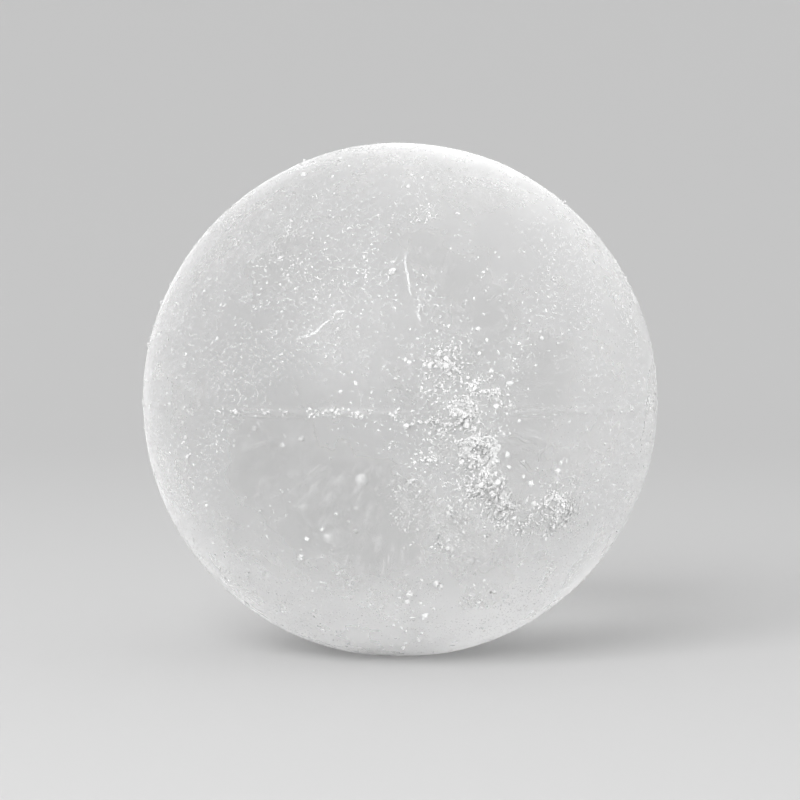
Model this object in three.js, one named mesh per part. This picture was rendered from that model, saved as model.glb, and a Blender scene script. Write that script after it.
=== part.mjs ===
// A moulded ice sphere: one solid ball of frozen water, cast in a two-part ball mould.
//
// Units are millimetres and +Z is up. The origin is the middle of the small flat that the
// mould's fill port leaves at the lower pole. The ball rests on that flat. The two halves
// of the mould meet at the equator, where they leave a low seam all the way round.

import * as THREE from "three";

// Driving dimensions
const SPHERE_DIAMETER = 60;
const FILL_FLAT_DIAMETER = 13.5;
const FILL_FLAT_EDGE = 0.25;
const FILL_RING_DIAMETER = 9;
const FILL_RING_WIDTH = 0.9;
const FILL_RING_DEPTH = 0.3;
const SEAM_WIDTH = 0.9;
const SEAM_HEIGHT = 0.2;

// Smoothness of the faceted ball
const STEPS_AROUND = 72;
const STEPS_PER_HALF = 19;
const STEPS_ACROSS_SEAM = 4;

const ICE_COLOR = "#dfe3e6";
const ICE_ROUGHNESS = 0.35;

const sphereRadius = SPHERE_DIAMETER / 2;
const flatRadius = FILL_FLAT_DIAMETER / 2;
const centreHeight = Math.sqrt(sphereRadius ** 2 - flatRadius ** 2);

// A point of the half outline, at an angle above the equator and a height off the ball's surface.
function outlinePoint(angle, proud = 0) {
  const reach = sphereRadius + proud;
  return new THREE.Vector2(reach * Math.cos(angle), centreHeight + reach * Math.sin(angle));
}

// The plain curve of the ball between two angles, both ends included.
function ballArc(fromAngle, toAngle, steps) {
  const points = [];
  for (let i = 0; i <= steps; i += 1) {
    points.push(outlinePoint(THREE.MathUtils.lerp(fromAngle, toAngle, i / steps)));
  }
  return points;
}

// The flat at the lower pole, with the shallow ring that the port's lip pressed into it.
function fillMark() {
  const ringInner = (FILL_RING_DIAMETER - FILL_RING_WIDTH) / 2;
  const ringOuter = (FILL_RING_DIAMETER + FILL_RING_WIDTH) / 2;
  return [
    new THREE.Vector2(0, 0),
    new THREE.Vector2(ringInner, 0),
    new THREE.Vector2(FILL_RING_DIAMETER / 2, FILL_RING_DEPTH),
    new THREE.Vector2(ringOuter, 0),
    new THREE.Vector2(flatRadius - FILL_FLAT_EDGE, 0),
  ];
}

// The low rounded seam at the equator, without its two ends, which the ball's curve makes.
function seam(halfAngle) {
  const points = [];
  for (let i = 1; i < STEPS_ACROSS_SEAM; i += 1) {
    const across = THREE.MathUtils.lerp(-1, 1, i / STEPS_ACROSS_SEAM);
    const proud = SEAM_HEIGHT * Math.cos((across * Math.PI) / 2);
    points.push(outlinePoint(across * halfAngle, proud));
  }
  return points;
}

// The whole outline, from the flat at the bottom to the pole at the top.
function ballOutline() {
  const flatAngle = -Math.asin(centreHeight / sphereRadius);
  const arcStart = flatAngle + FILL_FLAT_EDGE / sphereRadius;
  const seamAngle = SEAM_WIDTH / 2 / sphereRadius;
  const poleAngle = Math.PI / 2;
  const arcEnd = THREE.MathUtils.lerp(seamAngle, poleAngle, (STEPS_PER_HALF - 1) / STEPS_PER_HALF);
  return [
    ...fillMark(),
    ...ballArc(arcStart, -seamAngle, STEPS_PER_HALF),
    ...seam(seamAngle),
    ...ballArc(seamAngle, arcEnd, STEPS_PER_HALF - 1),
    new THREE.Vector2(0, centreHeight + sphereRadius),
  ];
}

function makeIceSphere() {
  const geometry = new THREE.LatheGeometry(ballOutline(), STEPS_AROUND);
  geometry.rotateX(Math.PI / 2);
  const ice = new THREE.MeshStandardMaterial({
    color: ICE_COLOR,
    roughness: ICE_ROUGHNESS,
    metalness: 0,
  });
  const mesh = new THREE.Mesh(geometry, ice);
  mesh.name = "ice_sphere";
  return mesh;
}

const iceBall = new THREE.Group();
iceBall.add(makeIceSphere());

export default iceBall;
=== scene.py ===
"""Ice sphere: the looks of a moulded ball of freezer ice.

Lengths are in metres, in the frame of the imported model: +Z is up, the ball rests on its
small flat at z = 0, and its frosted side faces -Y. The ball is one piece of see-through
ice. On its skin lie frost powder, sugary patches of frost and loose grains, and in it is
sealed the air that the water gave up as it froze.
"""

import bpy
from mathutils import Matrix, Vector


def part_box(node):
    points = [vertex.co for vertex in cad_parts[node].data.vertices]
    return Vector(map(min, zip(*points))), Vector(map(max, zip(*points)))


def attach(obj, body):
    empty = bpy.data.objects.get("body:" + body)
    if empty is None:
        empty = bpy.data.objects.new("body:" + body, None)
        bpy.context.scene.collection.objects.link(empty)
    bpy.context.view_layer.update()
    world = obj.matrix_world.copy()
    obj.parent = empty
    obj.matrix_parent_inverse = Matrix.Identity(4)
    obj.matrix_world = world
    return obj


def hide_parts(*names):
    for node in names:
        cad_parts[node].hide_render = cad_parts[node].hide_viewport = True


bl_info = {
    "name": "Ice Sphere",
    "version": (1, 0, 0),
    "blender": (4, 5, 0),
    "location": "3D View > Sidebar > Ice Sphere",
    "description": "Makes a moulded ball of freezer ice, with its frost and its sealed air",
    "category": "Add Mesh",
}

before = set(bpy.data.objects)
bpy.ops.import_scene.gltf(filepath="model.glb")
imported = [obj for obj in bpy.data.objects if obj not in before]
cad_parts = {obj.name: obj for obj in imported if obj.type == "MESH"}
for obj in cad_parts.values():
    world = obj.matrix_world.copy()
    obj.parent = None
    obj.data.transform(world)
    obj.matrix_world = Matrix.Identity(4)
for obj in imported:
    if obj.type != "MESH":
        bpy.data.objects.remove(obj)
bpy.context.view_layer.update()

import math

import bmesh
import bpy
import numpy as np
from mathutils import Euler, Vector, noise

NODE = "ice_sphere"
BODY = "root"
MM = 0.001


def linear(hex_color):
    """An sRGB colour such as #c0ffee as linear red, green and blue with full alpha."""
    parts = [int(hex_color[i:i + 2], 16) / 255 for i in (1, 3, 5)]
    return tuple(p / 12.92 if p <= 0.04045 else ((p + 0.055) / 1.055) ** 2.4 for p in parts) + (1.0,)


# ---------------------------------------------------------------- what a user would change


def length(name, description, millimetres):
    """A length property, with its default given in millimetres."""
    return bpy.props.FloatProperty(
        name=name, description=description, default=millimetres * MM, unit="LENGTH", precision=5)


def colour(name, description, hex_color):
    """A colour property, with its default given as an sRGB hex value."""
    return bpy.props.FloatVectorProperty(
        name=name, description=description, default=linear(hex_color), subtype="COLOR", size=4,
        min=0.0, max=1.0)


def amount(name, description, count):
    """A property that says how many of something there are."""
    return bpy.props.IntProperty(name=name, description=description, default=count, min=1)


class IceShape(bpy.types.PropertyGroup):
    """Sizes and colours of the ice itself."""

    seam_height: length("Seam height", "How far the mould seam stands proud of the ball", 0.2)
    seam_width: length("Seam width", "Width of the mould seam", 0.9)
    ring_diameter: length("Ring diameter", "Middle of the ring pressed into the flat", 9)
    ring_width: length("Ring width", "Width of the ring pressed into the flat", 0.9)
    ring_depth: length("Ring depth", "Depth of the ring pressed into the flat", 0.3)
    flat_edge: length("Flat edge", "Width of the rounded edge of the flat", 0.25)
    spacing: length("Skin spacing", "Distance between neighbouring points of the skin", 0.42)
    waviness: length("Waviness", "How far a soft mould lets the ball go out of round", 0.12)
    scallop: length("Scallops", "Depth of the hollows that dry freezer air leaves", 0.035)
    ice: colour("Ice", "Tint of the ice where light crosses its bloomed skin", "#fcfcfc")
    # The clear tint is darker than the ice tint: painted shade for the depth seen through the rubbed-clear
    # windows.
    clear: colour("Clear ice", "Tint where the skin is rubbed clear, so that the ice looks deep", "#f0f0f0")
    depth_tint: colour("Depth tint", "Colour that a long way through the ice takes on", "#e9e9e9")


class FrostShape(bpy.types.PropertyGroup):
    """Sizes, amounts and colours of the frost on the skin."""

    grain: length("Patch grain", "Usual size of a coarse grain in a patch of frost", 0.36)
    pile: length("Pile", "Height of the deepest clump of grains", 0.9)
    crust: length("Crust", "Height of the crust where grains have grown together", 0.4)
    powder: length("Powder", "Usual size of a chip of frost powder", 0.1)
    bead: length("Seam bead", "Usual size of a bead of frost on the mould seam", 0.45)
    speck: length("Loose grain", "Usual size of a loose grain", 0.42)
    chips: amount("Powder chips", "Most chips of powder on each half of the ball", 48000)
    specks: amount("Loose grains", "How many grains lie loose on their own", 230)
    strings: amount("Grain strings", "How many strings of grains slid down the skin", 16)
    loose: colour("Loose frost", "Colour of the frost where it lies loose", "#cecece")
    packed: colour("Packed frost", "Colour of the frost where it is packed hard", "#dedede")


class AirShape(bpy.types.PropertyGroup):
    """Sizes, amounts and colour of the air sealed in the ice."""

    bubble: length("Bubble", "Usual size of a round bubble", 0.7)
    mist: length("Mist", "Usual size of a bubble in the cloudy middle", 0.16)
    cloud_radius: length("Cloud radius", "Half the width of the cloudy middle", 9)
    thread: length("Thread", "Usual length of a bubble drawn out as the ice closed in", 2.2)
    hairline: length("Hairline", "Width of a sliver of air in a hairline crack", 0.45)
    veil: length("Veil", "Usual size of a pocket of air in a healed crack", 0.15)
    bubbles: amount("Bubbles", "How many round bubbles there are", 240)
    mist_bubbles: amount("Mist bubbles", "How many bubbles make up the cloudy middle", 5000)
    threads: amount("Threads", "How many bubbles are drawn out", 620)
    cracks: amount("Hairlines", "How many hairline cracks lie away from the front", 22)
    pockets: amount("Veil pockets", "Most pockets of air in one healed crack", 1900)
    air: colour("Air", "Colour of the light that a bubble sends back", "#fdfdfd")


class StageSettings(bpy.types.PropertyGroup):
    """Camera, light and floor."""

    lens: bpy.props.FloatProperty(
        name="Lens", description="Focal length in millimetres", default=135.0, min=20.0)
    elevation: bpy.props.FloatProperty(
        name="Elevation", description="Height of the camera above the ball's middle, as an angle",
        default=math.radians(3), subtype="ANGLE")
    share: bpy.props.FloatProperty(
        name="Ball's share", description="Part of the picture's width that the ball fills",
        default=0.64, min=0.1, max=0.95, subtype="FACTOR")
    floor: colour("Floor", "Colour of the seamless floor", "#d4d4d4")


class IceSphereSettings(bpy.types.PropertyGroup):
    """Everything that the ice sphere is made from."""

    shape: bpy.props.PointerProperty(type=IceShape)
    frost: bpy.props.PointerProperty(type=FrostShape)
    air: bpy.props.PointerProperty(type=AirShape)
    stage: bpy.props.PointerProperty(type=StageSettings)


# ------------------------------------------------------------------------- shared helpers


def add_node(tree, kind, inputs=None, **settings):
    """Adds a node, sets its settings, and fills each input with a value or a link."""
    made = tree.nodes.new(kind)
    for key, value in settings.items():
        setattr(made, key, value)
    for key, value in (inputs or {}).items():
        if isinstance(value, bpy.types.NodeSocket):
            tree.links.new(value, made.inputs[key])
        else:
            made.inputs[key].default_value = value
    return made


def new_material(name):
    """An empty node material and its tree."""
    material = bpy.data.materials.new(name)
    material.use_nodes = True
    material.node_tree.nodes.clear()
    return material, material.node_tree


def lit_pieces():
    """The collection of pieces that the fill lamps light."""
    name = "lit_by_fill_lamps"
    return bpy.data.collections.get(name) or bpy.data.collections.new(name)


def mesh_object(name, points, triangles, material, smooth):
    """A mesh object, lit by every lamp, from an array of points and an array of triangles."""
    mesh = bpy.data.meshes.new(name)
    mesh.vertices.add(len(points))
    mesh.vertices.foreach_set("co", np.asarray(points, np.float32).ravel())
    mesh.loops.add(triangles.size)
    mesh.loops.foreach_set("vertex_index", triangles.astype(np.int32).ravel())
    mesh.polygons.add(len(triangles))
    mesh.polygons.foreach_set("loop_start", np.arange(0, triangles.size, 3, dtype=np.int32))
    mesh.polygons.foreach_set("use_smooth", np.full(len(triangles), smooth))
    mesh.update(calc_edges=True)
    mesh.materials.append(material)
    made = bpy.data.objects.new(name, mesh)
    bpy.context.scene.collection.objects.link(made)
    lit_pieces().objects.link(made)
    return made


def round_shape(subdivisions):
    """Points and triangles of a small ball one unit across."""
    form = bmesh.new()
    bmesh.ops.create_icosphere(form, subdivisions=subdivisions, radius=0.5)
    form.verts.index_update()
    points = np.array([v.co for v in form.verts])
    triangles = np.array([[v.index for v in f.verts] for f in form.faces])
    form.free()
    return points, triangles


def chip_shape():
    """Points and triangles of the smallest chip of frost: four faces, with edges one unit long."""
    edge = math.sqrt(8)
    points = np.array(((1, 1, 1), (1, -1, -1), (-1, 1, -1), (-1, -1, 1))) / edge
    return points, np.array(((0, 1, 2), (0, 3, 1), (0, 2, 3), (1, 3, 2)))


def speck_shape():
    """Points and triangles of a speck: eight faces, one unit across."""
    points = np.concatenate((np.eye(3), -np.eye(3))) / 2
    triangles = []
    for x in (0, 3):
        for y in (1, 4):
            for z in (2, 5):
                turned = (x > 2) ^ (y > 2) ^ (z > 2)
                triangles.append((x, z, y) if turned else (x, y, z))
    return points, np.array(triangles)


def uneven(shape, rng, spread, copies):
    """Several copies of a shape with every point pushed in or out a little, as crumbs are."""
    points, triangles = shape
    pushed = [points * rng.uniform(1 - spread, 1 + spread, (len(points), 1)) for _ in range(copies)]
    return [(copy, triangles) for copy in pushed]


def random_directions(rng, count):
    """Directions spread evenly over every way to look."""
    free = rng.normal(size=(count, 3))
    return free / np.linalg.norm(free, axis=1, keepdims=True)


def turns_to(directions, rng):
    """A turn for each direction, which takes +Z to it after a random spin."""
    near_x = np.abs(directions[:, :1]) >= 0.9
    x = np.cross(np.where(near_x, (0.0, 1.0, 0.0), (1.0, 0.0, 0.0)), directions)
    x /= np.linalg.norm(x, axis=1, keepdims=True)
    y = np.cross(directions, x)
    spin = rng.uniform(0, math.tau, (len(directions), 1))
    across, along = np.cos(spin), np.sin(spin)
    return np.stack((x * across + y * along, y * across - x * along, directions), 2)


def random_turns(rng, count):
    """Turns of every kind."""
    return turns_to(random_directions(rng, count), rng)


def joined_copies(shapes, places, turns, sizes):
    """Points and triangles of many small shapes, each sized, turned and put in its place."""
    sizes = np.broadcast_to(np.reshape(sizes, (len(places), -1)), (len(places), 3))
    points, triangles, first = [], [], 0
    for kind, (shape_points, shape_triangles) in enumerate(shapes):
        mine = slice(kind, None, len(shapes))
        sized = shape_points[None] * sizes[mine, None, :]
        moved = np.einsum("nij,npj->npi", turns[mine], sized) + places[mine, None, :]
        starts = first + np.arange(len(moved)) * len(shape_points)
        points.append(moved.reshape(-1, 3))
        triangles.append((shape_triangles[None] + starts[:, None, None]).reshape(-1, 3))
        first += moved.shape[0] * moved.shape[1]
    return np.concatenate(points), np.concatenate(triangles)


def merged(*meshes):
    """Several meshes, each as points and triangles, as one."""
    offsets = np.cumsum([0] + [len(points) for points, _ in meshes[:-1]])
    points = np.concatenate([points for points, _ in meshes])
    return points, np.concatenate([triangles + at for (_, triangles), at in zip(meshes, offsets)])


# --------------------------------------------------------------------------- the ball's form

# Lengths over which the skin changes: its waves, the hollows in it, the worn stretches of the seam
# and the chips out of the seam. The last is how far up from the flat the mould still pressed it true.
WAVE, HOLLOW, WORN, CHIPPED, PRESSED = 14 * MM, 4.5 * MM, 4 * MM, 1.3 * MM, 1.5 * MM
# How much each octave of noise fades, and how much finer it is than the last.
OCTAVE = (1.0, 2.0)


class Ball:
    """Where the ball is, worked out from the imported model."""

    def __init__(self, seam_height):
        low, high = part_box(NODE)
        self.radius = (high.x - low.x) / 2 - seam_height
        self.height = high.z - self.radius
        self.flat_radius = math.sqrt(self.radius ** 2 - self.height ** 2)
        self.centre = np.array((0.0, 0.0, self.height))


def ball_outline(shape, ball):
    """Half of the ball's outline, as (distance from the axis, height), from the flat to the top."""
    edge = ball.flat_radius - shape.flat_edge
    flat_steps, seam_steps = round(edge / shape.spacing * 1.5), 8
    flat = []
    for i in range(1, flat_steps + 1):
        out = edge * i / flat_steps
        across = (out - shape.ring_diameter / 2) / (shape.ring_width / 2)
        depth = shape.ring_depth * math.cos(across * math.pi / 2) if abs(across) < 1 else 0.0
        flat.append((out, depth))
    seam_angle = shape.seam_width / 2 / ball.radius
    step = shape.spacing / ball.radius
    start = -math.asin(ball.height / ball.radius) + shape.flat_edge / ball.radius
    angles = [
        *np.linspace(start, -seam_angle, round((-seam_angle - start) / step)),
        *np.linspace(-seam_angle, seam_angle, seam_steps + 1)[1:-1],
        *np.linspace(seam_angle, math.pi / 2, round((math.pi / 2 - seam_angle) / step))[:-1],
    ]
    curve = [(ball.radius * math.cos(a), ball.height + ball.radius * math.sin(a)) for a in angles]
    return flat + curve


def ring_count(out, shape, ball):
    """Points in a ring: halved each time that the ring is half as wide, so that they stay even."""
    halvings, rounding = 6, 1e-9
    widest = round(math.tau * ball.radius / shape.spacing / 2 ** halvings) * 2 ** halvings
    return widest >> min(halvings, max(0, math.floor(math.log2(ball.radius / out) + rounding)))


def bridge(lower, upper):
    """Triangles between two rings of point numbers, where one may have twice the points."""
    a, b = np.array(lower), np.array(upper)
    a_next, b_next = np.roll(a, -1), np.roll(b, -1)
    if len(a) == len(b):
        return [np.stack((a, a_next, b_next), 1), np.stack((a, b_next, b), 1)]
    if len(a) > len(b):
        mid, far = a[1::2], np.roll(a[::2], -1)
        return [np.stack(t, 1) for t in ((a[::2], mid, b), (mid, b_next, b), (mid, far, b_next))]
    mid, far = b[1::2], np.roll(b[::2], -1)
    return [np.stack(t, 1) for t in ((a, mid, b[::2]), (a, a_next, mid), (a_next, far, mid))]


def revolve(outline, shape, ball):
    """Points and triangles of the closed skin that the outline sweeps round the axis."""
    points, triangles, rings = [(0.0, 0.0, 0.0)], [], []
    for out, height in outline:
        count = ring_count(out, shape, ball)
        first = len(points)
        turns = np.arange(count) * (math.tau / count)
        points += [(out * math.cos(t), out * math.sin(t), height) for t in turns]
        rings.append(np.arange(first, first + count))
    points.append((0.0, 0.0, ball.height + ball.radius))
    top = len(points) - 1
    for lower, upper in zip(rings, rings[1:]):
        triangles += bridge(lower, upper)
    first, last = rings[0], rings[-1]
    triangles.append(np.stack((np.zeros_like(first), np.roll(first, -1), first), 1))
    triangles.append(np.stack((last, np.roll(last, -1), np.full_like(last, top)), 1))
    return np.array(points), np.concatenate(triangles)


def skin_proud(direction, shape, ball):
    """How far the skin stands proud of a true ball in one direction from its middle."""
    spot = Vector(direction) * ball.radius
    wave = noise.fractal(spot / WAVE, *OCTAVE, 2) * shape.waviness
    # A hollow's floor is at the middle of its cell, and its mean is taken off to keep the ball's size.
    hollow, mean = noise.voronoi(spot / HOLLOW)[0][0] ** 2, 0.3
    scallop = (hollow - mean) * shape.scallop
    across = direction[2] * ball.radius / (shape.seam_width / 2)
    seam = 0.0
    if abs(across) < 1:
        whole = 0.4 + 1.3 * noise.noise(spot / WORN) + 0.4 * noise.noise(spot / CHIPPED)
        seam = shape.seam_height * math.cos(across * math.pi / 2) * min(1.0, max(0.0, whole))
    above_flat = (direction[2] * ball.radius + ball.height) / PRESSED
    return (wave + scallop) * min(1.0, max(0.0, above_flat)) + seam


def skin_points(points, shape, ball):
    """The points of a true ball moved out or in to the skin, with the flat left level."""
    moved = points - ball.centre
    reach = np.linalg.norm(moved, axis=1, keepdims=True)
    directions = moved / reach
    # The flat and the ring pressed up into it stay as they are.
    on_curve = points[:, 2] >= shape.ring_depth * 1.01
    proud = np.zeros(len(points))
    proud[on_curve] = [skin_proud(d, shape, ball) for d in directions[on_curve]]
    return points + directions * proud[:, None]


def skin_places(directions, shape, ball, lift):
    """Places on the skin, in some directions from the ball's middle, lifted off it by a little."""
    proud = np.array([skin_proud(d, shape, ball) for d in directions])
    return ball.centre + directions * (ball.radius + proud + lift)[:, None]


# ------------------------------------------------------------------------------- the frost

# Clumps of frost on the front: right of the ball's middle, above it, and radius, in mm, and then
# how deep each is piled, as a share of the deepest pile.
CLUMPS = (
    (6.6, -0.2, 1.8, 0.8),
    (8.6, -4.1, 2.0, 0.9),
    (9.1, -7.7, 1.7, 0.9),
    (10.9, -10.4, 1.6, 0.8),
    (4.3, -1.4, 1.3, 0.6),
    (1.2, -0.9, 1.0, 0.4),
    (0.8, -6.9, 1.7, 0.4),
    (3.0, -5.2, 1.3, 0.35),
    (5.2, 5.4, 1.9, 0.5),
    (3.6, 3.0, 1.2, 0.5),
    (7.8, 2.9, 1.2, 0.45),
    (10.2, 1.8, 1.3, 0.5),
    (6.2, -10.6, 1.4, 0.4),
    (4.6, -13.9, 1.2, 0.35),
    (13.6, -12.6, 1.3, 0.4),
    (17.2, -11.0, 2.1, 0.6),
    (9.7, -20.4, 1.2, 0.4),
    (7.9, -21.4, 0.9, 0.35),
    (2.7, 21.6, 1.3, 0.2),
)
# The middle and radius of the patch that the clumps lie in, in mm.
PATCH = (8.5, -3.0, 14.0)
# Smaller patches on the other sides: turn from the front and height above the middle, in degrees,
# and radius in mm.
SIDE_PATCHES = ((152.0, -22.0, 6.5), (122.0, -6.0, 4.0), (214.0, 34.0, 5.0), (98.0, -34.0, 3.5))
# Windows where the skin is rubbed clear: turn from the front and height above the middle, in
# degrees, radius in mm, and whether the seam stops them. The first eight are on the front.
WINDOWS = (
    (-14.0, -19.0, 9.0, True),
    (-31.0, -12.0, 6.0, True),
    (-3.0, -30.0, 5.0, True),
    (27.0, -8.0, 4.8, False),
    (33.0, 7.0, 5.4, False),
    (8.0, 36.0, 2.8, False),
    (15.0, 29.0, 3.4, False),
    (22.0, 21.0, 3.2, False),
    (112.0, 22.0, 7.0, True),
    (178.0, -14.0, 8.5, True),
    (252.0, 26.0, 6.5, False),
    (205.0, 62.0, 6.0, False),
    (68.0, -40.0, 5.5, False),
)
# Usual size of the bays in a window's ragged edge.
BAY = 7 * MM
# Drifts of frost powder: turn from the front and height above the middle, in degrees, radius in mm,
# and how much more powder lies there.
DRIFTS = (
    (60.0, -22.0, 12.0, 0.6),
    (-34.0, 26.0, 11.0, 0.4),
    (-62.0, -24.0, 9.0, 0.4),
    (16.0, -5.0, 9.0, 0.4),
)
# Single larger grains on the front: right, above and size, in mm.
LONE_GRAINS = (
    (-0.9, 15.3, 0.95),
    (-3.4, 4.9, 0.5),
    (16.9, 14.2, 0.6),
    (-14.6, -14.0, 0.5),
    (12.4, 9.1, 0.45),
)
# Coarse and fine grains of a patch: size against the usual one, places tried for them on each
# square mm, and the most that are kept in the front patch and in each of the others.
FINENESS = (1.0, 0.42)
GRAINS_TRIED = (46, 120)
FRONT_GRAINS = (6600, 8000)
SIDE_GRAINS = (900, 1400)
# The crust of a patch: mm between its points, how many clump radii it may reach, and how deep the
# frost is, as a share of the deepest pile, where grains begin to grow together.
CRUST_STEP, CRUST_REACH, CRUST_FROM = 0.17, 1.3, 0.26
# How far the crust's rim and its underside are sunk in the ice.
CRUST_RIM, CRUST_ROOT = 0.03 * MM, 0.1 * MM
# Places tried for powder on each half of the ball, and for beads round the seam.
POWDER_TRIED, BEADS_TRIED = 125000, 2400
# How far a single grain's middle is above the skin, as a share of its size: it has frozen half in.
SETTLE = 0.05


def side_turn(azimuth, elevation):
    """The turn that takes the front of the ball to another side of it, from degrees."""
    return np.array(Euler((-math.radians(elevation), 0.0, math.radians(azimuth))).to_matrix())


def side_middle(azimuth, elevation):
    """The direction to the middle of a side."""
    return side_turn(azimuth, elevation) @ (0.0, -1.0, 0.0)


def spans(directions, azimuth, elevation, ball):
    """How far the ball's spots in some directions are from the middle of a side."""
    return np.linalg.norm(directions - side_middle(azimuth, elevation), axis=1) * ball.radius


def on_side(right, up, ball, azimuth=0.0, elevation=0.0):
    """Directions to the spots on one side that lie so many mm right of and above its middle.

    Spots past the ball's outline on that side are drawn in to just inside it.
    """
    outline, least = 0.999, 1e-9
    out = np.hypot(right, up) * MM / ball.radius
    inward = np.minimum(1.0, outline / np.maximum(out, least)) * MM / ball.radius
    x, z = right * inward, up * inward
    return np.stack((x, -np.sqrt(1 - x ** 2 - z ** 2), z), 1) @ side_turn(azimuth, elevation).T


def openness(directions, ball):
    """From 0 in the middle of a clear window to 1 away from them all."""
    share = np.ones(len(directions))
    ragged = 0.35 * patchy(directions, BAY, ball)
    fades_from, fades_over = 0.5, 0.6
    for azimuth, elevation, radius, stopped in WINDOWS:
        away = spans(directions, azimuth, elevation, ball) / (radius * MM)
        clear = 1 - np.clip((away + ragged - fades_from) / fades_over, 0.0, 1.0)
        if stopped:
            clear *= directions[:, 2] * elevation > 0
        share *= 1 - clear
    return share


def patchy(directions, scale, ball, octaves=3):
    """Soft noise over the ball, about 0 in the mean and seldom past 1 either way."""
    reach = ball.radius / scale
    return np.array([noise.fractal(Vector(d) * reach, *OCTAVE, octaves) for d in directions])


def lace(directions, ball):
    """The net that frost grows in, from 0 in its holes to 1 on its strands."""
    thin = 4.0
    coarse, fine = (
        np.array([1 - min(1.0, thin * abs(noise.noise(Vector(d) * reach))) for d in directions])
        for reach in (ball.radius / (2.6 * MM), ball.radius / (1.2 * MM)))
    return np.maximum(coarse, 0.7 * fine)


def depth_of(right, up, clumps):
    """How deep frost lies at each spot, from 0 to 1, by the clumps around it."""
    depth = np.zeros(len(right))
    for clump_right, clump_up, radius, pile in clumps:
        away = np.hypot(right - clump_right, up - clump_up) / radius
        depth = np.maximum(depth, pile * np.exp(-0.75 * away ** 2))
    return depth


def crumb_shapes(rng):
    """Unlike grains of frost: broken crumbs, and a few short crystals."""
    points, triangles = speck_shape()
    slim = points * (0.55, 0.55, 1.5)
    crystals = uneven((slim, triangles), rng, 0.15, 3)
    return uneven(round_shape(1), rng, 0.34, 12) + crystals


def crumbs(places, size, squash, rng):
    """A mesh of crumbs in their places, each squashed or drawn out between two shares of its size."""
    sizes = size[:, None] * rng.uniform(*squash, (len(size), 3))
    return joined_copies(crumb_shapes(rng), places, random_turns(rng, len(places)), sizes)


def scattered(rng, count, middle_right, middle_up, radius):
    """Spots spread evenly over a disc, as right and up in mm."""
    out = radius * np.sqrt(rng.uniform(0, 1, count))
    turn = rng.uniform(0, math.tau, count)
    return middle_right + out * np.cos(turn), middle_up + out * np.sin(turn)


def edges_once(triangles):
    """The edges that only one triangle has, each as two point numbers in its turning order."""
    edges = np.concatenate([triangles[:, [0, 1]], triangles[:, [1, 2]], triangles[:, [2, 0]]])
    names = np.sort(edges, axis=1)
    _, where, times = np.unique(names, axis=0, return_index=True, return_counts=True)
    return edges[where[times == 1]]


def without_pinches(triangles):
    """The triangles left when none of them touch at a corner alone."""
    while True:
        corners, times = np.unique(edges_once(triangles), return_counts=True)
        pinched = corners[times > 2]
        if not len(pinched):
            return triangles
        triangles = triangles[~np.isin(triangles, pinched).any(1)]


def closed_shell(top, bottom, triangles):
    """A closed skin from a top sheet and the same sheet's underside."""
    count = len(top)
    rim = edges_once(triangles)
    walls = np.concatenate([
        np.stack((rim[:, 1], rim[:, 0], rim[:, 0] + count), 1),
        np.stack((rim[:, 1], rim[:, 0] + count, rim[:, 1] + count), 1),
    ])
    return np.concatenate([top, bottom]), np.concatenate([triangles, triangles[:, ::-1] + count, walls])


def staggered_sheet(low, high, step, rng):
    """Spots over a rectangle in staggered rows, each a little out of line, and triangles between them."""
    columns, rows = (round(side / step) for side in high - low)
    number = np.arange(columns * rows).reshape(rows, columns)
    across, along = np.meshgrid(np.arange(columns), np.arange(rows))
    nudge_right, nudge_up = rng.uniform(-0.3, 0.3, (2, number.size)) * step
    right = low[0] + step * (across + 0.5 * (along % 2)).ravel() + nudge_right
    up = low[1] + step * along.ravel() + nudge_up
    a, b = number[:-1, :-1].ravel(), number[:-1, 1:].ravel()
    d, c = number[1:, :-1].ravel(), number[1:, 1:].ravel()
    even = (along[:-1, :-1].ravel() % 2 == 0)[:, None]
    triangles = np.concatenate([
        np.where(even, np.stack((a, b, d), 1), np.stack((a, b, c), 1)),
        np.where(even, np.stack((b, c, d), 1), np.stack((a, c, d), 1)),
    ])
    return right, up, triangles


def frost_crust(frost, shape, ball, rng, clumps, side):
    """The sugary crust in the net, where grains have grown together."""
    middles, radii, _ = np.hsplit(np.array(clumps), (2, 3))
    low, high = (middles - CRUST_REACH * radii).min(0), (middles + CRUST_REACH * radii).max(0)
    right, up, triangles = staggered_sheet(low, high, CRUST_STEP, rng)
    depth = depth_of(right, up, clumps)
    directions = on_side(right, up, ball, *side)
    grown = np.full(len(depth), -1.0)
    deep = depth > CRUST_FROM
    grown[deep] = depth[deep] * (0.3 + 0.7 * lace(directions[deep], ball)) - CRUST_FROM
    triangles = without_pinches(triangles[(grown[triangles] > 0).any(1)])
    used, triangles = np.unique(triangles, return_inverse=True)
    directions, grown = directions[used], np.clip(grown[used], 0, 1)
    lumps = 0.25 * patchy(directions, 0.45 * MM, ball, 2)
    rise = np.where(grown > 0, frost.crust * (grown ** 0.5 + lumps), 0.0)
    top = skin_places(directions, shape, ball, np.maximum(rise, 0.0) - CRUST_RIM)
    bottom = skin_places(directions, shape, ball, np.full(len(used), -CRUST_ROOT))
    return closed_shell(top, bottom, triangles.reshape(-1, 3))


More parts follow.
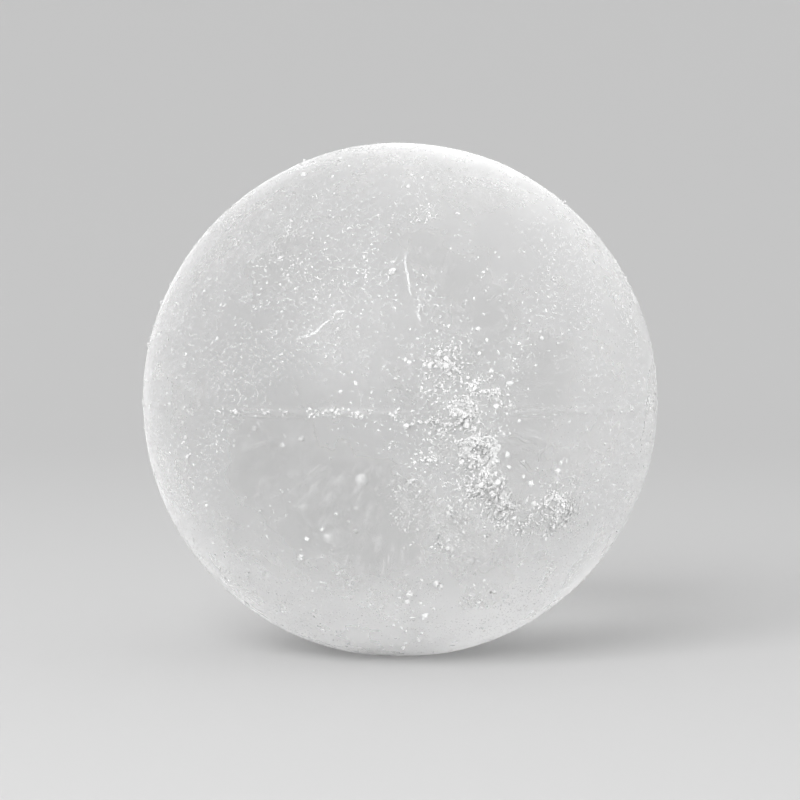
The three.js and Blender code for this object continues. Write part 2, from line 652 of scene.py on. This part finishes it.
def frost_net(frost, shape, ball, rng, clumps, patch, side, most):
    """A crust in a lacy net, coarse grains piled on its clumps, and finer grains in and around it."""
    middle_right, middle_up, patch_radius = patch
    meshes = [frost_crust(frost, shape, ball, rng, clumps, side)]
    stray, widest = 2.2, 1.9 * patch_radius
    strays = [math.hypot(c[0] - middle_right, c[1] - middle_up) + stray * c[2] for c in clumps]
    reach = min(max(strays), widest)
    kinds = (crumb_shapes(rng), uneven(speck_shape(), rng, 0.25, 8))
    for shapes, fineness, tried, limit in zip(kinds, FINENESS, GRAINS_TRIED, most):
        right, up = scattered(rng, round(tried * math.pi * reach ** 2), middle_right, middle_up, reach)
        depth = depth_of(right, up, clumps)
        edge = np.clip(1.1 - np.hypot(right - middle_right, up - middle_up) / patch_radius, 0.0, 1.0)
        # Only places that can hold frost are worked out further.
        near = np.maximum(depth, 0.25 * edge) > 0.02
        right, up, depth, edge = right[near], up[near], depth[near], edge[near]
        directions = on_side(right, up, ball, *side)
        net = lace(directions, ball)
        spread = depth ** fineness * (0.2 + 0.8 * net) + 0.09 * edge * net ** 2
        chance = openness(directions, ball) * spread
        kept = np.flatnonzero(rng.uniform(0, 1, len(net)) < chance)[:limit]
        directions, depth, net = directions[kept], depth[kept], net[kept]
        size = frost.grain * fineness * rng.lognormal(-0.1, 0.38, len(kept)) * (0.6 + 0.5 * depth)
        rise = rng.uniform(0, 1, len(kept)) * depth ** 1.5 * (0.3 + 0.7 * net) * frost.pile
        places = skin_places(directions, shape, ball, rise + size * 0.1)
        sizes = size[:, None] * rng.uniform(0.55, 1.25, (len(size), 3))
        meshes.append(joined_copies(shapes, places, random_turns(rng, len(places)), sizes))
    return merged(*meshes)


def patch_frost(frost, shape, ball, rng):
    """The sugary patch on the front."""
    return frost_net(frost, shape, ball, rng, CLUMPS, PATCH, (0.0, 0.0), FRONT_GRAINS)


def side_frost(frost, shape, ball, rng):
    """Smaller patches like it at the sides and the back."""
    meshes = []
    for azimuth, elevation, radius in SIDE_PATCHES:
        right, up = scattered(rng, round(radius * 1.6), 0.0, 0.0, radius * 0.8)
        clumps = [(*spot, rng.uniform(0.8, 1.9), rng.uniform(0.3, 0.9)) for spot in zip(right, up)]
        patch, side = (0.0, 0.0, radius), (azimuth, elevation)
        meshes.append(frost_net(frost, shape, ball, rng, clumps, patch, side, SIDE_GRAINS))
    return merged(*meshes)


def powder_frost(frost, shape, ball, rng, half):
    """Frost powder over the upper (1) or lower (-1) half, in drifts, thinner in the clear windows.

    Its chips are as coarse as they need to be to show. Real powder is finer.
    """
    directions = random_directions(rng, POWDER_TRIED)
    directions[:, 2] = half * np.abs(directions[:, 2])
    directions = directions[directions[:, 2] * ball.radius + ball.height > 0.5 * MM]
    broad, fine = patchy(directions, 8 * MM, ball), patchy(directions, 1.6 * MM, ball, 2)
    cover = 0.4 + 0.8 * broad + 0.3 * fine
    for azimuth, elevation, radius, more in DRIFTS:
        away = spans(directions, azimuth, elevation, ball) / (radius * MM)
        cover += more * np.exp(-away ** 2)
    chance = openness(directions, ball) * cover
    directions = directions[rng.uniform(0, 1, len(directions)) < chance][:frost.chips]
    size = frost.powder * rng.lognormal(0.0, 0.45, len(directions))
    places = skin_places(directions, shape, ball, size * SETTLE)
    sizes = size[:, None] * rng.uniform(0.7, 1.4, (len(size), 3)) * (1.0, 1.0, 0.45)
    return joined_copies(uneven(chip_shape(), rng, 0.2, 8), places, turns_to(directions, rng), sizes)


def upper_powder(frost, shape, ball, rng):
    """Frost powder above the seam."""
    return powder_frost(frost, shape, ball, rng, 1)


def lower_powder(frost, shape, ball, rng):
    """Frost powder below the seam."""
    return powder_frost(frost, shape, ball, rng, -1)


def seam_beads(frost, shape, ball, rng):
    """Beads of frost in short runs along the mould seam, most of them on the front's left."""
    thickest, narrow, runs_round = math.radians(256), 26, 17
    turns = rng.uniform(0, math.tau, BEADS_TRIED)
    near = np.cos((turns - thickest) / 2) ** narrow
    runs = np.array([noise.noise(Vector((math.cos(t), math.sin(t), 0)) * runs_round) for t in turns])
    chance = (0.10 + 0.7 * near) * np.clip(2.2 * runs + 0.15 + 0.2 * near, 0, 1)
    kept = rng.uniform(0, 1, len(turns)) < chance
    turns, near = turns[kept], near[kept]
    lean = rng.normal(0, shape.seam_width * 0.25 / ball.radius, len(turns))
    directions = np.stack((np.cos(turns) * np.cos(lean), np.sin(turns) * np.cos(lean), np.sin(lean)), 1)
    size = frost.bead * rng.lognormal(-0.3, 0.35, len(turns)) * (0.75 + 0.25 * near)
    return crumbs(skin_places(directions, shape, ball, size * SETTLE), size, (0.6, 1.2), rng)


def grain_strings(how_many, rng):
    """Directions to grains that lie in short strings, where they slid down the skin."""
    strings = []
    for _ in range(how_many):
        start = random_directions(rng, 1)[0]
        start[2] = abs(start[2]) * 0.7 - 0.35
        count = rng.integers(5, 14)
        down = np.linspace(0, rng.uniform(0.15, 0.35), count)[:, None]
        strings.append(start - down * (0, 0, 1) + rng.normal(0, 0.02, (count, 3)))
    return np.concatenate(strings)


def loose_grains(frost, shape, ball, rng):
    """Grains shaken loose: some anywhere, some in strings, and a stream of them low on the front."""
    stream_up = np.linspace(-18.5, -27.5, 26)
    stream_right = 1.5 + 1.6 * np.sin(stream_up * 1.9) + rng.normal(0, 0.7, len(stream_up))
    lone_right, lone_up, lone_size = np.array(LONE_GRAINS).T
    loose = np.concatenate([
        random_directions(rng, frost.specks),
        grain_strings(frost.strings, rng),
        on_side(stream_right, stream_up, ball),
    ])
    loose /= np.linalg.norm(loose, axis=1, keepdims=True)
    loose = loose[loose[:, 2] * ball.radius + ball.height > 1.5 * MM]
    directions = np.concatenate([loose, on_side(lone_right, lone_up, ball)])
    size = np.concatenate([frost.speck * rng.lognormal(-0.1, 0.35, len(loose)), lone_size * MM])
    return crumbs(skin_places(directions, shape, ball, size * SETTLE), size, (0.7, 1.15), rng)


# ------------------------------------------------------------------------ the sealed air


def round_bubbles(air, ball, rng):
    """Round bubbles, more of them near the skin, where the water froze first and fastest."""
    directions = random_directions(rng, air.bubbles)
    reach = ball.radius * rng.uniform(0.3, 0.93, air.bubbles) ** 0.7
    size = air.bubble * rng.lognormal(-0.35, 0.4, air.bubbles)
    places = ball.centre + directions * reach[:, None]
    return joined_copies([round_shape(2)], places, random_turns(rng, air.bubbles), size)


def cloud(air, ball, rng):
    """A thin mist of tiny bubbles round the middle, where the last water froze."""
    directions = random_directions(rng, air.mist_bubbles)
    reach = np.abs(rng.normal(0, 0.6, air.mist_bubbles)) ** 0.7 * air.cloud_radius
    reach *= 1 + 0.8 * patchy(directions, 14 * MM, ball)
    places = ball.centre + directions * np.minimum(reach, ball.radius * 0.8)[:, None]
    size = air.mist * rng.lognormal(0.0, 0.35, air.mist_bubbles)
    return joined_copies([speck_shape()], places, random_turns(rng, air.mist_bubbles), size)


def threads(air, ball, rng):
    """Bubbles drawn out into threads that point at the middle, as the ice closed in on it."""
    directions = random_directions(rng, air.threads)
    reach = air.cloud_radius * rng.uniform(0.7, 2.4, air.threads)
    long = air.thread * rng.lognormal(-0.1, 0.45, air.threads)
    thick = air.mist * rng.uniform(0.7, 1.5, air.threads)
    places, sizes = ball.centre + directions * reach[:, None], np.stack((thick, thick, long), 1)
    return joined_copies([round_shape(1)], places, turns_to(directions, rng), sizes)


# Hairline cracks just under the front skin, in mm: right and above at the middle, length, slant in
# degrees from level, bow to one side and depth below the skin.
HAIRLINES = (
    (1.2, 15.3, 5.6, 96.0, 0.5, 0.16),
    (2.2, 11.4, 3.4, 92.0, 0.1, 0.5),
    (-9.4, 9.1, 5.2, 31.0, -0.3, 0.16),
    (-6.6, 10.9, 2.2, 24.0, 0.1, 0.3),
    (13.4, -3.2, 3.6, -20.0, 0.3, 0.6),
    (14.2, -6.0, 2.6, -42.0, -0.2, 0.8),
    (15.8, -4.6, 2.2, 58.0, 0.2, 0.7),
)


def sliver(centres, across, outward, half_width):
    """Points and triangles of a thin, flat, closed sliver along a line, pointed at both ends."""
    sides, flatness = 6, 0.4
    taper = np.sin(np.linspace(0, math.pi, len(centres)))[1:-1, None, None] ** 0.7
    turns = (np.arange(sides) * math.tau / sides)[None, :, None]
    ring = np.cos(turns) * across[1:-1, None] + np.sin(turns) * outward[1:-1, None] * flatness
    body = (centres[1:-1, None] + ring * taper * half_width).reshape(-1, 3)
    points = np.concatenate([centres[:1], body, centres[-1:]])
    rings = [np.arange(1 + i * sides, 1 + (i + 1) * sides) for i in range(len(centres) - 2)]
    triangles = [t for lower, upper in zip(rings, rings[1:]) for t in bridge(lower, upper)]
    start, end = np.zeros(sides, int), np.full(sides, len(points) - 1)
    triangles.append(np.stack((start, np.roll(rings[0], -1), rings[0]), 1))
    triangles.append(np.stack((rings[-1], np.roll(rings[-1], -1), end), 1))
    return points, np.concatenate(triangles)[:, ::-1]


def hairlines(air, ball, rng):
    """Slivers of air along hairline cracks: those listed on the front, and others on the other sides."""
    cracks = [(0.0, 0.0, *line) for line in HAIRLINES]
    for _ in range(air.cracks):
        azimuth, elevation = rng.uniform(50, 310), rng.uniform(-50, 70)
        long, slant = rng.uniform(2, 7), rng.uniform(0, 180)
        bow, deep = rng.uniform(-0.8, 0.8), rng.uniform(0.8, 2.5)
        cracks.append((azimuth, elevation, 0.0, 0.0, long, slant, bow, deep))
    slivers = []
    along = np.linspace(-1, 1, 17)
    for azimuth, elevation, right, up, long, slant, bow, deep in cracks:
        aside = bow * (1 - along ** 2) + 0.12 * np.sin(5 * along + long)
        turn = math.radians(slant)
        line_right = right + along * long / 2 * math.cos(turn) - aside * math.sin(turn)
        line_up = up + along * long / 2 * math.sin(turn) + aside * math.cos(turn)
        outward = on_side(line_right, line_up, ball, azimuth, elevation)
        centres = ball.centre + outward * (ball.radius - deep * MM)
        across = np.cross(np.gradient(centres, axis=0), outward)
        across /= np.linalg.norm(across, axis=1, keepdims=True)
        slivers.append(sliver(centres, across, outward, air.hairline / 2))
    return merged(*slivers)


# Healed cracks: right of, behind and above the ball's middle, length and width, in mm, and turns
# about Y and Z, in degrees.
VEILS = (
    (1.5, -14.0, 15.0, 9.0, 5.0, 82.0, 80.0),
    (-12.0, -6.0, 8.0, 13.0, 8.0, 35.0, 20.0),
    (9.0, 4.0, -12.0, 14.0, 9.0, -40.0, -30.0),
    (-6.0, 8.0, -10.0, 12.0, 9.0, 60.0, 110.0),
    (4.0, -2.0, 3.0, 16.0, 10.0, -15.0, 60.0),
    (14.0, -8.0, 9.0, 10.0, 6.0, 50.0, -50.0),
)


def healed_cracks(air, ball, rng):
    """Feathered veils of tiny flat pockets, each on the curved sheet of a crack that healed."""
    tried = 9000
    # Fall in strength and growth in fineness from octave to octave, octaves, level and sharpness.
    ridges = (0.9, 2.2, 3, 0.9, 2.0)
    places, normals = [], []
    for right, behind, above, long, wide, lean, yaw in VEILS:
        u, v = rng.uniform(-1, 1, (2, tried))
        v *= 1 - 0.6 * np.abs(u)
        spots = [Vector((a * 2.2 + right, (b + a * a * 0.4) * 7, yaw)) for a, b in zip(u, v)]
        ribs = np.array([noise.ridged_multi_fractal(spot, *ridges) for spot in spots])
        kept = (ribs * (1.25 - u ** 2 - v ** 2)) > 1.25 + rng.normal(0, 0.2, len(u))
        u, v = u[kept][:air.pockets], v[kept][:air.pockets]
        bow = 0.22 * long * (u ** 2 - 0.3) + 0.4 * np.sin(3 * v)
        sheet = np.stack((u * long / 2, v * wide / 2, bow), 1)
        turn = np.array(Euler((0.0, math.radians(lean), math.radians(yaw))).to_matrix())
        places.append(ball.centre + (sheet @ turn.T + (right, behind, above)) * MM)
        normals.append(np.tile(turn[:, 2], (len(u), 1)))
    places, normals = np.concatenate(places), np.concatenate(normals)
    size = air.veil * rng.lognormal(0.0, 0.35, len(places))
    sizes = size[:, None] * (1.0, 1.0, 0.35)
    return joined_copies([speck_shape()], places, turns_to(normals, rng), sizes)


# ------------------------------------------------------------------------------- materials

# The index of refraction of ice just below freezing.
ICE_IOR = 1.31


def bloom_pattern(tree, coords, ball):
    """Where the skin of the ice is bloomed (1) or rubbed clear (0), in patches and in the windows."""
    # This mask sets the roughness, and also the painted shade: the tint darkens where the skin is clear.
    drifts = add_node(tree, "ShaderNodeTexNoise", {
        "Vector": coords, "Scale": 1 / BAY, "Detail": 4.0, "Roughness": 0.6})
    shift = add_node(tree, "ShaderNodeVectorMath", {
        0: drifts.outputs["Color"], 1: (-0.5, -0.5, -0.5)}, operation="ADD").outputs["Vector"]
    ragged = add_node(tree, "ShaderNodeVectorMath", {
        0: shift, 1: (9 * MM, 9 * MM, 9 * MM), 2: coords}, operation="MULTIPLY_ADD").outputs["Vector"]
    bloom = add_node(tree, "ShaderNodeMapRange", {
        "Value": drifts.outputs["Fac"], "From Min": 0.38, "From Max": 0.62,
        "To Min": 0.25}).outputs["Result"]
    # A window that the seam stops fades out over half a millimetre there.
    height = add_node(tree, "ShaderNodeSeparateXYZ", {"Vector": coords}).outputs["Z"]
    above_seam, below_seam = (
        add_node(tree, "ShaderNodeMapRange", {
            "Value": height,
            "From Min": ball.height - way * 0.2 * MM,
            "From Max": ball.height + way * 0.3 * MM,
        }).outputs["Result"]
        for way in (1, -1))
    for azimuth, elevation, radius, stopped in WINDOWS:
        middle = tuple(ball.centre + side_middle(azimuth, elevation) * ball.radius)
        away = add_node(tree, "ShaderNodeVectorMath", {0: ragged, 1: middle}, operation="DISTANCE")
        clear = add_node(tree, "ShaderNodeMapRange", {
            "Value": away.outputs["Value"], "From Min": 0.4 * radius * MM, "From Max": 1.25 * radius * MM},
            interpolation_type="SMOOTHSTEP").outputs["Result"]
        if stopped:
            past_seam = above_seam if elevation < 0 else below_seam
            clear = add_node(tree, "ShaderNodeMath", {
                0: clear, 1: past_seam}, operation="MAXIMUM").outputs["Value"]
        bloom = add_node(tree, "ShaderNodeMath", {
            0: bloom, 1: clear}, operation="MULTIPLY").outputs["Value"]
    return bloom


def ice_material(shape, ball):
    """Water ice cast in a silicone mould: clear inside, with a skin that dry air has etched.

    The eye gets a see-through ball with a satin bloom, and glossier windows where the
    bloom is rubbed off. Their tint is darker: painted shade for the depth seen through them.
    """
    material, tree = new_material("moulded freezer ice")
    coords = add_node(tree, "ShaderNodeTexCoord").outputs["Object"]
    bloom = bloom_pattern(tree, coords, ball)
    roughness = add_node(tree, "ShaderNodeMapRange", {"Value": bloom, "To Min": 0.15, "To Max": 0.44})
    # The tint is darker where the skin is clear: painted shade that stands in for the depth seen through
    # the windows.
    tint = add_node(tree, "ShaderNodeMix", {0: bloom, 6: shape.clear, 7: shape.ice}, data_type="RGBA")
    # Etched ice is finer grained. This is as coarse as it needs to be to show.
    etching = add_node(tree, "ShaderNodeTexNoise", {
        "Vector": coords, "Scale": 1 / (0.5 * MM), "Detail": 3.0, "Roughness": 0.6})
    bump = add_node(tree, "ShaderNodeBump", {
        "Height": etching.outputs["Fac"], "Strength": 0.25, "Distance": 0.03 * MM})
    skin = add_node(tree, "ShaderNodeBsdfPrincipled", {
        "Base Color": tint.outputs[2],
        "Roughness": roughness.outputs["Result"],
        "IOR": ICE_IOR,
        "Transmission Weight": 0.94,
        "Sheen Weight": 0.75,
        "Sheen Roughness": 0.6,
        "Normal": bump.outputs["Normal"],
    })
    inside = add_node(tree, "ShaderNodeVolumeAbsorption", {"Color": shape.depth_tint, "Density": 16.0})
    add_node(tree, "ShaderNodeOutputMaterial", {
        "Surface": skin.outputs["BSDF"], "Volume": inside.outputs["Volume"]})
    return material


def frost_material(frost):
    """Rime: grains of ice too small and rough to see through.

    The eye gets white, sugary grains whose facets catch the light one at a time, greyer where they
    lie loose than where they are packed.
    """
    material, tree = new_material("rime frost")
    coords = add_node(tree, "ShaderNodeTexCoord").outputs["Object"]
    shade = add_node(tree, "ShaderNodeTexNoise", {"Vector": coords, "Scale": 1 / (1.2 * MM), "Detail": 2.0})
    roughness = add_node(tree, "ShaderNodeMapRange", {
        "Value": shade.outputs["Fac"], "From Min": 0.3, "From Max": 0.7, "To Min": 0.25, "To Max": 0.55})
    packing = add_node(tree, "ShaderNodeTexNoise", {
        "Vector": coords, "Scale": 1 / (2.6 * MM), "Detail": 3.0})
    packed = add_node(tree, "ShaderNodeMapRange", {
        "Value": packing.outputs["Fac"], "From Min": 0.38, "From Max": 0.62})
    tone = add_node(tree, "ShaderNodeMix", {
        0: packed.outputs["Result"], 6: frost.loose, 7: frost.packed}, data_type="RGBA")
    grains = add_node(tree, "ShaderNodeBsdfPrincipled", {
        "Base Color": tone.outputs[2],
        "Roughness": roughness.outputs["Result"],
        "IOR": ICE_IOR,
        "Transmission Weight": 0.15,
        "Sheen Weight": 0.4,
        "Sheen Roughness": 0.5,
    })
    add_node(tree, "ShaderNodeOutputMaterial", {"Surface": grains.outputs["BSDF"]})
    return material


def air_material(air):
    """Air sealed in ice, whose curved wall throws the light back.

    The eye gets pale silvery beads and a white mist where they are too small to tell apart.
    """
    material, tree = new_material("sealed air bubbles")
    coords = add_node(tree, "ShaderNodeTexCoord").outputs["Object"]
    shade = add_node(tree, "ShaderNodeTexNoise", {"Vector": coords, "Scale": 1 / (3 * MM), "Detail": 2.0})
    roughness = add_node(tree, "ShaderNodeMapRange", {
        "Value": shade.outputs["Fac"], "From Min": 0.3, "From Max": 0.7, "To Min": 0.08, "To Max": 0.25})
    walls = add_node(tree, "ShaderNodeBsdfPrincipled", {
        "Base Color": air.air,
        "Roughness": roughness.outputs["Result"],
        "IOR": ICE_IOR,
        "Transmission Weight": 0.0,
    })
    add_node(tree, "ShaderNodeOutputMaterial", {"Surface": walls.outputs["BSDF"]})
    return material


def floor_material(tint):
    """Matt paper, so that the floor takes a soft shadow and no reflection."""
    material, tree = new_material("matt paper sweep")
    paper = add_node(tree, "ShaderNodeBsdfPrincipled", {"Base Color": tint, "Roughness": 0.9})
    add_node(tree, "ShaderNodeOutputMaterial", {"Surface": paper.outputs["BSDF"]})
    return material


# ------------------------------------------------------------------------------- operators


class ICE_OT_ball(bpy.types.Operator):
    """Makes the ball of ice, with its seam, its flat and the slight unevenness of its skin"""

    bl_idname = "ice_sphere.ball"
    bl_label = "Ball of Ice"

    def execute(self, context):
        shape = context.scene.ice_sphere.shape
        ball = Ball(shape.seam_height)
        points, triangles = revolve(ball_outline(shape, ball), shape, ball)
        piece = mesh_object(
            "ice_ball", skin_points(points, shape, ball), triangles, ice_material(shape, ball), True)
        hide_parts(NODE)
        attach(piece, BODY)
        return {"FINISHED"}


class ICE_OT_frost(bpy.types.Operator):
    """Makes the frost on the skin: powder, sugary patches, beads on the seam and loose grains"""

    bl_idname = "ice_sphere.frost"
    bl_label = "Frost"

    def execute(self, context):
        settings = context.scene.ice_sphere
        frost, shape = settings.frost, settings.shape
        ball = Ball(shape.seam_height)
        material = frost_material(frost)
        for number, (name, make) in enumerate((
            ("frost_powder_upper", upper_powder),
            ("frost_powder_lower", lower_powder),
            ("frost_patch", patch_frost),
            ("frost_side_patches", side_frost),
            ("seam_frost", seam_beads),
            ("loose_frost", loose_grains),
        )):
            points, triangles = make(frost, shape, ball, np.random.default_rng(100 + number))
            piece = mesh_object(name, points, triangles, material, False)
            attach(piece, BODY)
        return {"FINISHED"}


class ICE_OT_air(bpy.types.Operator):
    """Makes the air sealed in the ice: bubbles, the cloudy middle, threads, hairlines and healed cracks"""

    bl_idname = "ice_sphere.air"
    bl_label = "Sealed Air"

    def execute(self, context):
        settings = context.scene.ice_sphere
        ball = Ball(settings.shape.seam_height)
        material = air_material(settings.air)
        for number, (name, make) in enumerate((
            ("air_bubbles", round_bubbles),
            ("air_cloud", cloud),
            ("air_threads", threads),
            ("air_hairlines", hairlines),
            ("healed_cracks", healed_cracks),
        )):
            points, triangles = make(settings.air, ball, np.random.default_rng(200 + number))
            piece = mesh_object(name, points, triangles, material, True)
            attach(piece, BODY)
        return {"FINISHED"}


class ICE_OT_stage(bpy.types.Operator):
    """Makes the camera, the lights and a seamless round floor"""

    bl_idname = "ice_sphere.stage"
    bl_label = "Camera, Light and Floor"

    def execute(self, context):
        stage = context.scene.ice_sphere.stage
        ball = Ball(context.scene.ice_sphere.shape.seam_height)
        make_camera(context.scene, stage, ball)
        make_floor(stage)
        make_lights(context.scene, ball)
        return {"FINISHED"}


def make_camera(scene, stage, ball):
    """A long lens in front of the ball, a little above its middle."""
    data = bpy.data.cameras.new("camera")
    data.lens = stage.lens
    width = 2 * ball.radius / stage.share
    distance = width * data.lens / data.sensor_width
    camera = bpy.data.objects.new("camera", data)
    back = Vector((0.0, -math.cos(stage.elevation), math.sin(stage.elevation)))
    camera.location = Vector(ball.centre) + back * distance
    camera.rotation_euler = (-back).to_track_quat("-Z", "Y").to_euler()
    data.clip_start = ball.radius / 10
    scene.collection.objects.link(camera)
    scene.camera = camera


def make_floor(stage):
    """A round paper floor whose rim curves up on every side, so that no edge shows behind the ball."""
    flat, bend, rise = 0.35, 0.9, math.radians(60)
    flat_steps, bend_steps, segments = 12, 24, 96
    profile = [(flat * i / flat_steps, 0.0) for i in range(1, flat_steps + 1)]
    for i in range(1, bend_steps + 1):
        turn = rise * i / bend_steps
        profile.append((flat + bend * math.sin(turn), bend * (1 - math.cos(turn))))
    mesh = bpy.data.meshes.new("floor")
    form = bmesh.new()
    turns = [math.tau * i / segments for i in range(segments)]
    rings = [
        [form.verts.new((out * math.cos(turn), out * math.sin(turn), height)) for turn in turns]
        for out, height in profile]
    middle = form.verts.new((0.0, 0.0, 0.0))
    for i in range(segments):
        form.faces.new((middle, rings[0][i], rings[0][(i + 1) % segments]))
    for inner, outer in zip(rings, rings[1:]):
        for i in range(segments):
            j = (i + 1) % segments
            form.faces.new((inner[i], outer[i], outer[j], inner[j]))
    form.to_mesh(mesh)
    form.free()
    for face in mesh.polygons:
        face.use_smooth = True
    mesh.materials.append(floor_material(stage.floor))
    floor = bpy.data.objects.new("floor", mesh)
    bpy.context.scene.collection.objects.link(floor)


# The lamps: name, place and width in metres, power in watts, and whether it is a fill lamp.
LAMPS = (
    ("lamp_front", (-0.35, -0.7, 0.45), 0.7, 6.4, False),
    ("lamp_left", (-0.55, -0.25, 0.0), 0.3, 3.6, True),
    ("lamp_right", (0.6, 0.0, 0.0), 0.3, 2.3, True),
    ("lamp_low", (0.5, -0.3, 0.02), 0.3, 5.2, True),
    ("lamp_back", (-0.1, 0.62, 0.12), 0.5, 5.5, True),
)


def make_lights(scene, ball):
    """An even sky, a broad lamp in front, and low fill lamps all round that reach the ice alone.

    The fill lamps leave no pools on the floor, and none of them is seen through the ball or
    mirrored in it.
    """
    world = bpy.data.worlds.new("studio")
    scene.world = world
    world.use_nodes = True
    world.node_tree.nodes.clear()
    sky = add_node(world.node_tree, "ShaderNodeBackground", {"Color": linear("#fafafa"), "Strength": 0.73})
    add_node(world.node_tree, "ShaderNodeOutputWorld", {"Surface": sky.outputs["Background"]})
    for name, place, width, power, fill in LAMPS:
        data = bpy.data.lights.new(name, "AREA")
        data.shape = "DISK"
        data.size = width
        data.energy = power
        lamp = bpy.data.objects.new(name, data)
        lamp.location = place
        aim = Vector(ball.centre) - lamp.location
        lamp.rotation_euler = aim.to_track_quat("-Z", "Y").to_euler()
        lamp.visible_camera = False
        if fill:
            lamp.visible_transmission = False
            lamp.visible_glossy = False
            lamp.light_linking.receiver_collection = lit_pieces()
        scene.collection.objects.link(lamp)
    scene.view_settings.view_transform = "Standard"
    scene.cycles.diffuse_bounces = 8
    scene.cycles.max_bounces = 20
    scene.cycles.transmission_bounces = 16


class ICE_PT_panel(bpy.types.Panel):
    """Sizes and colours of the ice sphere, and a button for each of its pieces"""

    bl_idname = "ICE_PT_panel"
    bl_label = "Ice Sphere"
    bl_space_type = "VIEW_3D"
    bl_region_type = "UI"
    bl_category = "Ice Sphere"

    def draw(self, context):
        settings = context.scene.ice_sphere
        for group, operator in (
            (settings.shape, ICE_OT_ball),
            (settings.frost, ICE_OT_frost),
            (settings.air, ICE_OT_air),
            (settings.stage, ICE_OT_stage),
        ):
            box = self.layout.box()
            for name in group.__annotations__:
                box.prop(group, name)
            box.operator(operator.bl_idname)


CLASSES = (
    IceShape,
    FrostShape,
    AirShape,
    StageSettings,
    IceSphereSettings,
    ICE_OT_ball,
    ICE_OT_frost,
    ICE_OT_air,
    ICE_OT_stage,
    ICE_PT_panel,
)


def register():
    """Adds the settings, the operators and the panel."""
    for item in CLASSES:
        bpy.utils.register_class(item)
    bpy.types.Scene.ice_sphere = bpy.props.PointerProperty(type=IceSphereSettings)


def unregister():
    """Takes them away again."""
    del bpy.types.Scene.ice_sphere
    for item in reversed(CLASSES):
        bpy.utils.unregister_class(item)


def main():
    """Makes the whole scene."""
    register()
    bpy.ops.ice_sphere.stage()
    bpy.ops.ice_sphere.ball()
    bpy.ops.ice_sphere.air()
    bpy.ops.ice_sphere.frost()


if __name__ == "__main__":
    main()
